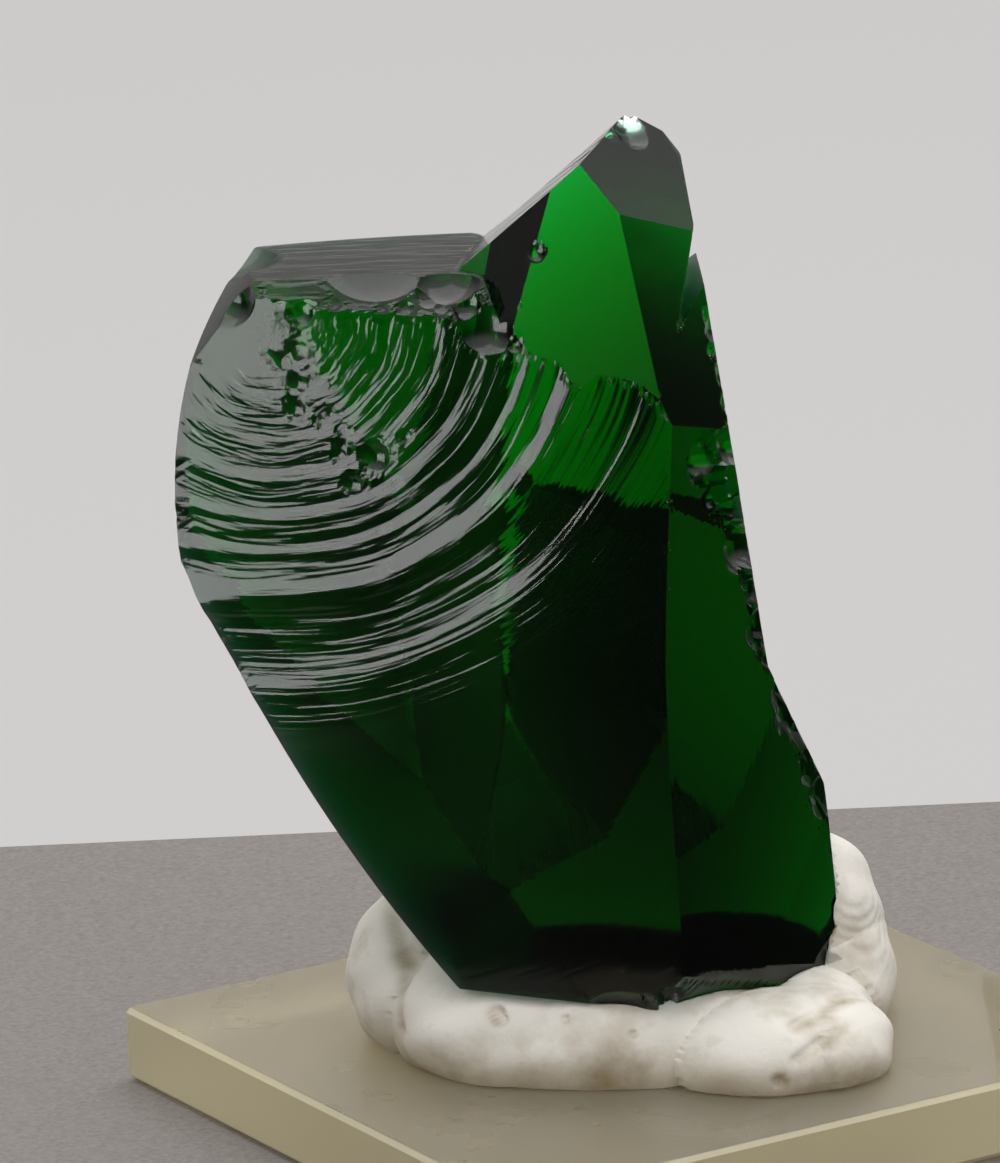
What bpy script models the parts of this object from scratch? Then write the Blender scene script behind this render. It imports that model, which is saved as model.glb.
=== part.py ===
"""A lump of green andara glass held by mounting putty on a square acrylic plate.

Three separate pieces: glass_chunk, mounting_putty and acrylic_base. Sizes are metres in the
scene and millimetres in this file. Origin: middle of the plate's underside, +Z up, X and Y
along the plate's edges.
"""
import bmesh
import bpy
import numpy as np
from mathutils import Matrix
from math import pi, radians

MM = 0.001

# Acrylic plate
PLATE_SIDE = 50.0
PLATE_THICK = 5.0
PLATE_BEVEL = 0.35

# The glass and the putty are described looking at the glass's rippled face: x to the right,
# y away, z up. On the plate they stand turned by this angle about +Z.
SPECIMEN_TURN = 30.3

# Glass: rays leave HEART, and REACH gives the body's rough half sizes
HEART = np.array([-4.5, -2.5, 41.0])
REACH = np.array([20.0, 11.0, 29.0])
GLASS_COLUMNS = 84
GLASS_ROWS = 44
FRONT_PULL = 0.34        # crowds the columns on the rippled face
WAIST_PULL = 0.10        # crowds the rows at mid height

# Putty: overlapping lobes (middle, radii) that rays from PUTTY_HEART leave as one soft lump
PUTTY_HEART = np.array([-0.5, -1.5, 6.5])
PUTTY_BLEND = 7.0
PUTTY_COLUMNS = 60
PUTTY_ROWS = 22
PUTTY_GAP = 0.3
PUTTY_LOBES = (
    ((-9.6, -4.6, 8.4), (6.6, 5.8, 5.0)),
    ((-1.5, -8.4, 7.2), (10.5, 5.0, 4.2)),
    ((8.4, -10.6, 6.4), (6.8, 6.0, 3.6)),
    ((10.6, -5.0, 6.6), (4.2, 8.2, 3.4)),
    ((12.3, 2.2, 9.9), (4.2, 6.4, 7.0)),
    ((-12.9, 0.8, 9.6), (5.8, 6.2, 6.0)),
    ((-1.5, 8.2, 7.4), (13.0, 6.0, 4.4)),
    ((-0.5, -1.0, 6.0), (14.0, 11.5, 5.0)),
)

# Percussion point of the main rippled face
STRIKE = np.array([-21.0, -9.0, 55.6])

# Broken faces: name, point on the face, bearing (0 = towards the viewer, + = to the right)
# and elevation of its outward direction, and radius of its swell (0 = flat, minus = hollow)
BODY = (
    ("main_ripple", (-6.0, -12.3, 32.0), -7, 4, 340),
    ("left_side", (-28.1, -4.0, 44.0), -100, 2, 31),
    ("lower_left", (-20.9, -6.0, 25.7), -104, -31, 120),
    ("foot", (-5.0, -12.5, 10.8), -40, -78, 0),
    ("foot_front", (4.2, -11.6, 11.3), 30, -36, 0),
    ("right_green", (6.2, -9.8, 37.0), 41, 1, 0),
    ("right_low", (12.9, -3.0, 18.0), 92, 4, 0),
    ("right_heel", (12.7, -1.0, 11.0), 92, -15, 40),
    ("low_chip", (12.4, -4.8, 19.4), 46, -5, 0),
    ("back_left", (-23.0, 3.0, 45.0), -145, 4, 300),
    ("back_belly", (-2.0, 13.6, 34.0), 178, 3, 200),
    ("back_right", (8.6, 8.4, 30.0), 134, 5, 120),
    ("back_foot", (-2.0, 10.6, 16.0), 174, -24, 120),
)
# Places where the glass reaches out past a hollow edge: it fills either of two blocks
SHOULDER = (
    ("shoulder", (-15.0, -3.0, 58.1), 30, 88, 300),
    ("under_rim", (-15.0, -8.7, 55.9), -4, 32, 0),
    ("left_corner", (-24.6, -5.5, 55.9), -80, 38, 60),
    ("shoulder_end", (-8.2, -5.0, 58.4), 90, 19, 0),
)
PEAK = (
    ("peak_left", (-5.2, -2.0, 60.9), -100, 50, 0),
    ("dark_slope", (-6.6, -10.0, 53.8), -35, 24, 0),
    ("window", (-6.6, -10.0, 53.8), -3, 18, 0),
    ("window_side", (2.8, -11.8, 50.1), 46, 20, 0),
    ("peak_top", (0.6, -8.2, 61.5), 56, 40, 0),
)
RIGHT_RIM = (("right_rim", (7.2, 1.0, 46.8), 88, 7, 0),)
RIGHT_BULGE = (("right_bulge", (10.8, -6.0, 27.0), 97, 23, 0),)
# The back is hollow behind the peak, between a thick left part and a thick foot
HOLLOW = (("back_upper", (-3.0, 2.0, 57.0), -165, 13.5, 150),)
LEFT_BACK = (
    ("left_back", (-15.0, 3.1, 57.8), -172, 24, 200),
    ("left_wall", (-8.5, 5.0, 48.0), 135, 5, 0),
)
LOW_BACK = (
    ("low_ledge", (-2.0, 5.5, 42.5), 172, 50, -80),
    ("low_left", (5.5, 13.4, 30.0), -145, 5, 0),
)
EITHER = ((SHOULDER, PEAK), (RIGHT_RIM, RIGHT_BULGE), (HOLLOW, LEFT_BACK, LOW_BACK))

# Scoops that flakes left: point on the edge or face, outward direction, width and depth
FLAKES = (
    ((5.2, -9.2, 45.4), (0.5, -0.8, 0.3), 2.8, 0.8),
    ((7.4, -7.8, 39.8), (0.7, -0.7, 0.1), 2.2, 0.5),
    ((8.6, -7.4, 33.8), (0.8, -0.6, 0.1), 2.4, 0.6),
    ((10.4, -6.4, 27.4), (0.8, -0.6, 0.2), 2.8, 0.7),
    ((12.4, -5.2, 21.6), (0.9, -0.4, 0.1), 3.0, 0.8),
    ((2.4, -0.6, 65.2), (0.1, -0.5, 0.8), 3.2, 0.9),
    ((-23.8, -7.2, 56.4), (-0.6, -0.6, 0.5), 3.4, 0.8),
    ((-22.2, -2.0, 58.0), (-0.5, 0.1, 0.8), 4.4, 0.6),
    ((-15.0, -7.0, 57.9), (0.0, -0.6, 0.8), 5.2, 0.5),
    ((-9.9, -7.8, 57.4), (-0.2, -0.6, 0.7), 3.6, 0.7),
    ((-7.4, -9.4, 54.6), (-0.3, -0.9, 0.3), 2.6, 0.4),
    ((-27.6, -7.0, 42.0), (-0.8, -0.6, 0.0), 3.0, 0.5),
    ((-25.6, -8.6, 34.6), (-0.7, -0.6, -0.3), 3.0, 0.4),
    ((-2.0, -12.6, 10.9), (0.0, -0.8, -0.6), 4.2, 0.4),
)


def direction(bearing, elevation):
    """Unit direction from a bearing (0 = towards the viewer, + = right) and an elevation."""
    b, e = radians(bearing), radians(elevation)
    return np.array([np.sin(b) * np.cos(e), -np.cos(b) * np.cos(e), np.sin(e)])


def ease(x, start, end):
    """0 before start, 1 after end, smooth between."""
    t = np.clip((x - start) / (end - start), 0.0, 1.0)
    return t * t * (3.0 - 2.0 * t)


def rippled_rise(p):
    """Height of the rippled face over its plain swell, in mm: the fold to lower left of the
    line that runs down from the strike point, and the broad ribs in arcs round that point."""
    rel = p - STRIKE
    right, down = rel[..., 0], -rel[..., 2]
    rho = np.hypot(right, down)
    rho = rho * (1.0 + 0.05 * np.sin(2.0 * np.arctan2(right, down) + 0.6))
    inward = np.minimum(1.0, 24.0 / np.maximum(rho, 1e-6))
    beyond = (0.74 * down - 0.67 * right) * inward - 2.0
    fold = 0.16 * np.log1p(np.exp(np.clip(beyond / 1.2, -30, 30))) * 1.2
    ribs = 0.07 * np.exp(-((rho - 13.5) / 6.5) ** 2) * np.sin(2 * pi * rho / 2.6)
    lip = 0.16 * np.exp(-((rho - 24.5) / 1.3) ** 2) + 0.22 * np.exp(-((rho - 18.8) / 1.1) ** 2)
    return ribs + lip - fold


def face_reach(rays, face):
    """How far along each ray the named broken face lies, as a multiple of the ray."""
    name, at, bearing, elevation, swell = face
    out = direction(bearing, elevation)
    at = np.array(at)
    slant = rays @ out
    ahead = slant > 0.02 * np.linalg.norm(rays, axis=-1)
    slant = np.where(ahead, slant, 1.0)
    level = float(np.dot(at - HEART, out))
    s = level / slant
    for _ in range(8):
        p = HEART + rays * np.clip(s, 0.0, 3.0)[..., None]
        rel = p - at
        side2 = (rel ** 2).sum(-1) - (rel @ out) ** 2
        rise = -side2 / (2.0 * swell) if swell else 0.0 * side2
        if name == "main_ripple":
            rise = rise + rippled_rise(p)
        s = (level + np.maximum(rise, -level * 0.8)) / slant
    return np.where(ahead, s, 9.0)


def flake_reach(rays, flake):
    """Where each ray enters the round scoop of one flake; 9 where it misses the scoop."""
    at, out, width, depth = flake
    out = np.array(out) / np.linalg.norm(out)
    radius = (width ** 2 / 4 + depth ** 2) / (2 * depth)
    mid = np.array(at) + out * (radius - depth) - HEART
    a = (rays ** 2).sum(-1)
    b = rays @ mid
    disc = b * b - a * (mid @ mid - radius ** 2)
    enter = (b - np.sqrt(np.maximum(disc, 0.0))) / a
    return np.where((disc > 0) & (enter > 0), enter, 9.0)


def nearest(hits, first):
    """Nearest of several surfaces on each ray, and its number counted on from first."""
    owner = np.argmin(hits, axis=0)
    return np.take_along_axis(hits, owner[None], 0)[0], owner + first


def glass_reach(rays):
    """Distances to every surface, distance to the glass and the surface that ends each ray."""
    parts = [np.array([face_reach(rays, face) for face in BODY]
                      + [flake_reach(rays, flake) for flake in FLAKES])]
    near, owner = nearest(parts[0], 0)
    first = len(parts[0])
    for blocks in EITHER:
        far = np.zeros(near.shape)
        far_owner = owner
        for faces in blocks:
            hits = np.array([face_reach(rays, face) for face in faces])
            block, block_owner = nearest(hits, first)
            far_owner = np.where(block > far, block_owner, far_owner)
            far = np.maximum(far, block)
            parts.append(hits)
            first += len(faces)
        owner = np.where(far < near, far_owner, owner)
        near = np.minimum(near, far)
    return np.concatenate(parts), near, owner


def grid_rays(u, v):
    """Rays for grid places u (turn, 0 to 1) and v (0 = bottom, 1 = top)."""
    turn = 2 * pi * u
    turn = turn - FRONT_PULL * np.cos(turn)
    tip = pi * (1.0 - v)
    tip = tip + WAIST_PULL * np.sin(2.0 * tip)
    ray = np.stack([np.sin(tip) * np.cos(turn), np.sin(tip) * np.sin(turn), np.cos(tip)], -1)
    return ray * REACH


def snap_to_edges(u, v, hits, owner, du, dv):
    """Moves each grid place that has an edge between two faces less than half a step away
    onto that edge, so that the mesh follows the sharp edges."""
    best = np.full(u.shape, 0.5)
    move_u = np.zeros(u.shape)
    move_v = np.zeros(u.shape)
    rows, cols = u.shape
    ri, ci = np.meshgrid(np.arange(rows), np.arange(cols), indexing="ij")
    for dr, dc in ((1, 0), (-1, 0), (0, 1), (0, -1)):
        rn = np.clip(ri + dr, 0, rows - 1)
        cn = (ci + dc) % cols
        other = owner[rn, cn]
        own = owner
        gap_here = np.abs(hits[other, ri, ci] - hits[own, ri, ci])
        gap_there = np.abs(hits[other, rn, cn] - hits[own, rn, cn])
        part = gap_here / np.maximum(gap_here + gap_there, 1e-9)
        near = (other != own) & (part < best)
        best = np.where(near, part, best)
        move_u = np.where(near, part * dc * du, move_u)
        move_v = np.where(near, part * dr * dv, move_v)
    return u + move_u, v + move_v, best < 0.5


def glass_points(columns, rows):
    """Grid of surface points and which of them lie on an edge, bottom row first."""
    v, u = np.meshgrid((np.arange(rows) + 0.5) / rows, np.arange(columns) / columns, indexing="ij")
    hits, _, owner = glass_reach(grid_rays(u, v))
    u, v, on_edge = snap_to_edges(u, v, hits, owner, 1.0 / columns, 1.0 / rows)
    rays = grid_rays(u, v)
    _, s, _ = glass_reach(rays)
    return HEART + rays * s[..., None], on_edge


def closed_mesh(name, grid, on_edge, bottom, top):
    """One closed mesh from rows of points round the body and a point at each end."""
    rows, cols, _ = grid.shape
    points = [tuple(p) for p in grid.reshape(-1, 3)] + [tuple(bottom), tuple(top)]
    faces = []
    for r in range(rows - 1):
        for c in range(cols):
            n = (c + 1) % cols
            a, b, d, e = r * cols + c, r * cols + n, (r + 1) * cols + n, (r + 1) * cols + c
            if on_edge[r, n] and on_edge[r + 1, c]:
                faces += [(a, b, e), (b, d, e)]
            else:
                faces += [(a, b, d), (a, d, e)]
    low, high = rows * cols, rows * cols + 1
    last = (rows - 1) * cols
    for c in range(cols):
        n = (c + 1) % cols
        faces.append((low, n, c))
        faces.append((high, last + c, last + n))
    mesh = bpy.data.meshes.new(name)
    mesh.from_pydata(points, [], faces)
    mesh.validate()
    mesh.update()
    thing = bpy.data.objects.new(name, mesh)
    bpy.context.collection.objects.link(thing)
    return thing


def on_plate(thing):
    """Turns a piece made in the viewer's directions to its place on the plate, in metres."""
    turn = Matrix.Rotation(-radians(SPECIMEN_TURN), 4, "Z")
    thing.data.transform(Matrix.Scale(MM, 4) @ turn)


def make_glass():
    """The broken lump of glass, standing in its place."""
    grid, on_edge = glass_points(GLASS_COLUMNS, GLASS_ROWS)
    ends = np.array([(0.0, 0.0, -1.0), (0.0, 0.0, 1.0)]) * REACH
    _, s, _ = glass_reach(ends)
    tips = HEART + ends * s[:, None]
    glass = closed_mesh("glass_chunk", grid, on_edge, tips[0], tips[1])
    on_plate(glass)
    return glass


def make_socket(glass):
    """The glass's own form grown by the putty gap: it presses the socket into the putty."""
    socket = glass.copy()
    socket.data = glass.data.copy()
    socket.name = "socket_cutter"
    grown = [vertex.co + vertex.normal * PUTTY_GAP * MM for vertex in glass.data.vertices]
    for vertex, place in zip(socket.data.vertices, grown):
        vertex.co = place
    socket.hide_render = True
    socket.display_type = "WIRE"
    bpy.context.collection.objects.link(socket)
    return socket


def putty_reach(rays):
    """How far each ray from PUTTY_HEART runs before it leaves the soft union of the lobes."""
    total = np.zeros(rays.shape[:-1])
    for mid, radii in PUTTY_LOBES:
        far = np.zeros(rays.shape[:-1])
        step = (PUTTY_HEART - np.array(mid)) / np.array(radii)
        way = rays / np.array(radii)
        a = (way ** 2).sum(-1)
        b = way @ step
        disc = b * b - a * (step @ step - 1.0)
        far = np.where(disc > 0, (-b + np.sqrt(np.maximum(disc, 0.0))) / a, 0.0)
        total = total + np.maximum(far, 0.0) ** PUTTY_BLEND
    reach = total ** (1.0 / PUTTY_BLEND)
    rest = PLATE_THICK + PUTTY_GAP - PUTTY_HEART[2]
    sinks = rays[..., 2] < -1e-6
    floor = np.where(sinks, rest / np.where(sinks, rays[..., 2], -1.0), 99.0)
    return np.minimum(reach, floor)


def make_putty(socket):
    """The kneaded putty lump, flat where it sticks to the plate and hollowed by the glass."""
    v, u = np.meshgrid((np.arange(PUTTY_ROWS) + 0.5) / PUTTY_ROWS,
                       np.arange(PUTTY_COLUMNS) / PUTTY_COLUMNS, indexing="ij")
    tip, turn = pi * (1.0 - v), 2 * pi * u
    rays = np.stack([np.sin(tip) * np.cos(turn) * 16.0, np.sin(tip) * np.sin(turn) * 13.0,
                     np.cos(tip) * 5.0], -1)
    grid = PUTTY_HEART + rays * putty_reach(rays)[..., None]
    ends = np.array([(0.0, 0.0, -5.0), (0.0, 0.0, 5.0)])
    tips = PUTTY_HEART + ends * putty_reach(ends)[:, None]
    putty = closed_mesh("mounting_putty", grid, np.zeros(u.shape, bool), tips[0], tips[1])
    on_plate(putty)
    cut = putty.modifiers.new("socket", "BOOLEAN")
    cut.operation = "DIFFERENCE"
    cut.solver = "EXACT"
    cut.object = socket
    return putty


def make_plate():
    """The square acrylic plate with its narrow polished bevel."""
    mesh = bpy.data.meshes.new("acrylic_base")
    work = bmesh.new()
    bmesh.ops.create_cube(work, size=1.0)
    bmesh.ops.scale(work, vec=(PLATE_SIDE * MM, PLATE_SIDE * MM, PLATE_THICK * MM), verts=work.verts)
    bmesh.ops.translate(work, vec=(0.0, 0.0, PLATE_THICK * MM / 2), verts=work.verts)
    bmesh.ops.bevel(work, geom=list(work.edges), offset=PLATE_BEVEL * MM, segments=1,
                    affect="EDGES", clamp_overlap=True)
    work.to_mesh(mesh)
    work.free()
    plate = bpy.data.objects.new("acrylic_base", mesh)
    bpy.context.collection.objects.link(plate)
    return plate


def finish(thing, colour, roughness, see_through=0.0, ior=1.45):
    """Gives a piece its own material."""
    material = bpy.data.materials.new(thing.name)
    material.use_nodes = True
    shader = material.node_tree.nodes["Principled BSDF"]
    shader.inputs["Base Color"].default_value = (*colour, 1.0)
    shader.inputs["Roughness"].default_value = roughness
    shader.inputs["Metallic"].default_value = 0.0
    shader.inputs["Transmission Weight"].default_value = see_through
    shader.inputs["IOR"].default_value = ior
    thing.data.materials.append(material)


# BUILD
def main():
    """Clears the scene and builds the three pieces."""
    for thing in list(bpy.data.objects):
        bpy.data.objects.remove(thing, do_unlink=True)
    glass = make_glass()
    putty = make_putty(make_socket(glass))
    plate = make_plate()
    for polygon in putty.data.polygons:
        polygon.use_smooth = True
    finish(glass, (0.010, 0.105, 0.030), 0.04, 0.7, 1.5)
    finish(putty, (0.74, 0.71, 0.63), 0.75)
    finish(plate, (0.62, 0.55, 0.36), 0.08, 0.7, 1.49)


main()
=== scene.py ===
"""Dresses the green glass lump, its mounting putty and its acrylic plate for the camera.

The glass and the putty are described looking at the glass's rippled face, in millimetres:
x to the right, y away from the viewer, z up from the plate's underside. On the plate they
stand turned by SPECIMEN_TURN about the vertical.
"""
import logging
from dataclasses import dataclass, replace
from enum import Enum
from functools import partial
from typing import Any

import bpy
import numpy as np
from mathutils import Matrix

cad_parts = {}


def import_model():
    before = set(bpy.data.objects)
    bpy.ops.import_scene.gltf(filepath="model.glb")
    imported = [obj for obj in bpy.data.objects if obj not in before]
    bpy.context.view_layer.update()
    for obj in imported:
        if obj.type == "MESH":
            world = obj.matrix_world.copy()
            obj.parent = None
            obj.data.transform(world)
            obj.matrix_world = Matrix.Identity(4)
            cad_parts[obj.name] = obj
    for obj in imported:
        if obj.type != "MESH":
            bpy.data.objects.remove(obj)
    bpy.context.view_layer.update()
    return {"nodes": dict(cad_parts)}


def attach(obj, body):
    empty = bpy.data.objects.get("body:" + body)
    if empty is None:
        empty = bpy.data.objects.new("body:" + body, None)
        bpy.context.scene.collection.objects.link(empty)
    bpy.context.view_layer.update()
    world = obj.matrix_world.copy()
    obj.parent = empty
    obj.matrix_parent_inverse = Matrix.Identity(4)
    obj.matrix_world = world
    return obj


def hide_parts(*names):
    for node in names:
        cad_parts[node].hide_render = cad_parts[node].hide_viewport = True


LOG = logging.getLogger("andara_glass")
MM = 0.001  # metres in a millimetre
SPECIMEN_TURN = 30.3  # degrees
PLATE_TOP = 5.0  # mm
MISS = 9.0  # multiple of a ray that lies past every surface
SHARP_ANGLE = 38.0  # degrees between two facets that meet in a sharp edge

Array = np.ndarray
Pair = tuple[float, float]
Triple = tuple[float, float, float]
Colour = tuple[float, float, float, float]


def linear(hex_colour: str) -> Colour:
    """Turns an sRGB hex colour into linear red, green, blue and alpha.

    Args:
        hex_colour: Six hex digits.

    Returns:
        Linear colour with alpha 1.
    """
    parts = [int(hex_colour[i:i + 2], 16) / 255.0 for i in (0, 2, 4)]
    lin = [c / 12.92 if c <= 0.04045 else ((c + 0.055) / 1.055) ** 2.4 for c in parts]
    return lin[0], lin[1], lin[2], 1.0


def toward(bearing: float, elevation: float) -> Array:
    """Unit vector (sin b cos e, -cos b cos e, sin e) from degrees to the right and up."""
    b, e = np.radians([bearing, elevation])
    return np.array([np.sin(b) * np.cos(e), -np.cos(b) * np.cos(e), np.sin(e)])


def ease(x: Array, start: float, end: float) -> Array:
    """Smooth step: 0 before start, 1 after end, 3t^2 - 2t^3 between."""
    t = np.clip((x - start) / (end - start), 0.0, 1.0)
    return t * t * (3.0 - 2.0 * t)


def hump(x: Array, middle: float, width: float) -> Array:
    """Bell of height 1 round the middle, exp(-((x - middle) / width)^2)."""
    return np.exp(-((x - middle) / width) ** 2)


def drift(a: Array, b: Array, seed: float) -> Array:
    """Slow wander between -1 and 1: four sines of unlike pitch and heading, averaged.

    Args:
        a: First coordinate, about one wander for three units.
        b: Second coordinate.
        seed: Shifts the sines so that each use looks different.

    Returns:
        Array of the same shape.
    """
    total = np.sin(a * 2.1 + b * 0.7 + seed * 1.3)
    total = total + np.sin(a * 1.3 - b * 2.3 + seed * 2.9)
    total = total + np.sin(a * 3.7 + b * 1.9 - seed * 0.7)
    total = total + np.sin(a * 0.6 - b * 3.1 + seed * 4.1)
    return total / 4.0


def to_plate(points: Array) -> Array:
    """Turns viewer-side millimetres into metres in the plate's directions.

    Args:
        points: Array of x, y, z in the last axis.

    Returns:
        Array of the same shape, turned by -SPECIMEN_TURN about z.
    """
    t = np.radians(SPECIMEN_TURN)
    x = points[..., 0] * np.cos(t) + points[..., 1] * np.sin(t)
    y = -points[..., 0] * np.sin(t) + points[..., 1] * np.cos(t)
    return np.stack([x, y, points[..., 2]], -1) * MM


def make_piece(name: str, points: Array, faces: Array,
               crisp: Array | None = None) -> bpy.types.Object:
    """Makes a smooth mesh object from arrays of points and triangles.

    Args:
        name: Name of the object and its mesh.
        points: N by 3 array, metres.
        faces: M by 3 array of point numbers, turning so that faces look outwards.
        crisp: True for points on a crease; an edge between two of them stays sharp.

    Returns:
        The new object, linked to the scene, at the origin.
    """
    mesh = bpy.data.meshes.new(name)
    mesh.vertices.add(len(points))
    mesh.vertices.foreach_set("co", points.astype(np.float32).ravel())
    mesh.loops.add(faces.size)
    mesh.loops.foreach_set("vertex_index", faces.astype(np.int32).ravel())
    mesh.polygons.add(len(faces))
    mesh.polygons.foreach_set("loop_start", np.arange(0, faces.size, 3, dtype=np.int32))
    mesh.polygons.foreach_set("use_smooth", np.ones(len(faces), dtype=bool))
    mesh.update(calc_edges=True)
    mesh.set_sharp_from_angle(angle=np.radians(SHARP_ANGLE))
    if crisp is not None:
        ends = np.zeros(len(mesh.edges) * 2, dtype=np.int32)
        mesh.edges.foreach_get("vertices", ends)
        sharp = np.zeros(len(mesh.edges), dtype=bool)
        layers = mesh.attributes
        mark = layers.get("sharp_edge") or layers.new("sharp_edge", "BOOLEAN", "EDGE")
        mark.data.foreach_get("value", sharp)
        mark.data.foreach_set("value", sharp | crisp[ends.reshape(-1, 2)].all(1))
    piece = bpy.data.objects.new(name, mesh)
    bpy.context.scene.collection.objects.link(piece)
    return piece


def paint(piece: bpy.types.Object, name: str, values: Array) -> None:
    """Keeps numbers on a piece's points for its material to read.

    Args:
        piece: The mesh object.
        name: Name of the attribute.
        values: One number, or one triple of numbers, for each point.
    """
    triple = values.ndim == 2
    layer = piece.data.attributes.new(name, "FLOAT_VECTOR" if triple else "FLOAT", "POINT")
    layer.data.foreach_set("vector" if triple else "value", values.astype(np.float32).ravel())


def ball_faces(rows: int, cols: int, crease: Array) -> Array:
    """Triangles of a closed grid of rows round a body, with a point at each end.

    The end points are numbers rows * cols (bottom) and rows * cols + 1 (top). Where the two
    corners of a square that the usual diagonal misses both lie on a crease, the square is cut
    along them instead, so that the crease stays straight.

    Args:
        rows: Rows of points, bottom row first.
        cols: Points in a row.
        crease: Rows by cols array, True where a point lies on a crease.

    Returns:
        Array of triangles.
    """
    r, c = np.meshgrid(np.arange(rows - 1), np.arange(cols), indexing="ij")
    n = (c + 1) % cols
    a, b, d, e = r * cols + c, r * cols + n, (r + 1) * cols + n, (r + 1) * cols + c
    other = (crease[r, n] & crease[r + 1, c])[..., None]
    one = np.where(other, np.stack([a, b, e], -1), np.stack([a, b, d], -1))
    two = np.where(other, np.stack([b, d, e], -1), np.stack([a, d, e], -1))
    ring = np.arange(cols)
    after = (ring + 1) % cols
    last = (rows - 1) * cols
    low = np.stack([np.full(cols, rows * cols), after, ring], -1)
    high = np.stack([np.full(cols, rows * cols + 1), last + ring, last + after], -1)
    return np.concatenate([one.reshape(-1, 3), two.reshape(-1, 3), low, high])


def grid_places(rows: int, columns: int) -> tuple[Array, Array]:
    """Turn and height, 0 to 1, of a grid's points: column / columns and (row + 0.5) / rows."""
    v, u = np.meshgrid((np.arange(rows) + 0.5) / rows, np.arange(columns) / columns,
                       indexing="ij")
    return u, v


def ball_rays(tip: Array, turn: Array, radii: Triple) -> Array:
    """Rays to a stretched ball: (sin tip cos turn, sin tip sin turn, cos tip) times its radii."""
    ray = np.stack([np.sin(tip) * np.cos(turn), np.sin(tip) * np.sin(turn), np.cos(tip)], -1)
    return ray * np.array(radii)


def end_rays(radii: Triple) -> Array:
    """The ball's rays straight down and straight up."""
    return np.array([(0.0, 0.0, -1.0), (0.0, 0.0, 1.0)]) * np.array(radii)


def placed(right: Array, up: Array, back: Array, at: Array) -> Matrix:
    """Matrix of a camera or lamp from its three axes and its place in metres."""
    rows = [[float(axis[i]) for axis in (right, up, back)] + [float(at[i])] for i in range(3)]
    return Matrix(rows + [[0.0, 0.0, 0.0, 1.0]])


def feed(tree: Any, node: Any, feeds: dict[Any, Any]) -> None:
    """Links outputs, or nodes that stand for their first one, to a node's named inputs."""
    for key, source in feeds.items():
        tree.links.new(getattr(source, "outputs", [source])[0], node.inputs[key])


def add_node(tree: Any, kind: str, settings: dict[Any, Any] | None = None,
             feeds: dict[Any, Any] | None = None) -> Any:
    """Adds a shader node with its settings and links.

    Args:
        tree: Node tree of the material or world.
        kind: Blender's type name of the node after "ShaderNode".
        settings: Value for each property or input, by name or number, in order.
        feeds: Output or node to link to each input, by name or number.

    Returns:
        The node.
    """
    node = tree.nodes.new("ShaderNode" + kind)
    for key, value in (settings or {}).items():
        if isinstance(key, int) or key in node.inputs:
            node.inputs[key].default_value = value
        else:
            setattr(node, key, value)
    feed(tree, node, feeds or {})
    return node


def new_material(name: str, settings: dict[str, Any]) -> tuple[Any, Any, Any, Any]:
    """Starts a material.

    Args:
        name: Name of the material.
        settings: Value for inputs of its Principled shader, by name.

    Returns:
        The material, its node tree, its Principled shader and its output node.
    """
    material = bpy.data.materials.new(name)
    material.use_nodes = True
    tree = material.node_tree
    shader = tree.nodes["Principled BSDF"]
    for key, value in settings.items():
        shader.inputs[key].default_value = value
    return material, tree, shader, tree.nodes["Material Output"]


class Relief(Enum):
    """How a broken face of the glass looks close up."""

    PLAIN = "smooth as it parted"
    RIBBED = "ribs in arcs round the strike point"
    COMBED = "faint hackle lines that run down the face"
    FLOWED = "long shallow flow lines across the face"
    DULL = "fine hackle all over that scatters what is seen through it"
    SATIN = "a thin veil of the same hackle"


@dataclass(frozen=True)
class Face:
    """One broken face: a plane that swells (0 = flat, minus = hollow) and its relief."""

    name: str
    at: Triple
    bearing: float
    elevation: float
    swell: float = 0.0
    relief: Relief = Relief.PLAIN


@dataclass(frozen=True)
class Flake:
    """A round scoop that a flake left: where, which way it opens, its width and depth in mm."""

    at: Triple
    out: Triple
    width: float
    depth: float


@dataclass(frozen=True)
class ChippedEdge:
    """A row of small flakes along an edge: its corners, which way they open, how many, widths.

    Stray is how far they stand off the line in mm, sink the range of depth over width, and
    spread how much they open to other sides.
    """

    line: tuple[Triple, ...]
    out: Triple
    count: int
    smallest: float
    largest: float
    seed: int
    stray: float | Triple = 0.12
    sink: Pair = (0.12, 0.26)
    on_ripples: bool = False
    spread: float = 0.35

    def flakes(self) -> list[Flake]:
        """Places the flakes: even steps along the line, each shifted and sized at random.

        Returns:
            The flakes, always the same ones for the same seed.
        """
        rng = np.random.default_rng(self.seed)
        pts = np.array(self.line)
        steps = np.linalg.norm(np.diff(pts, axis=0), axis=1)
        reach = np.concatenate([[0.0], np.cumsum(steps)])
        where = (np.arange(self.count) + rng.uniform(0.05, 0.95, self.count)) / self.count
        spots = np.stack([np.interp(where * reach[-1], reach, pts[:, i]) for i in range(3)], -1)
        spots = spots + rng.normal(0.0, self.stray, spots.shape)
        outs = np.array(self.out) + rng.normal(0.0, self.spread, spots.shape)
        sizes = self.smallest + (self.largest - self.smallest) * rng.power(0.6, self.count)
        deeps = sizes * rng.uniform(*self.sink, self.count)
        return [Flake(tuple(p), tuple(o), float(w), float(d))
                for p, o, w, d in zip(spots, outs, sizes, deeps)]


@dataclass(frozen=True)
class ReliefLines:
    """Fine straight lines on a face: noise units per mm across and along them, depth in mm."""

    across: Triple
    along: Triple
    deep: float


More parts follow.
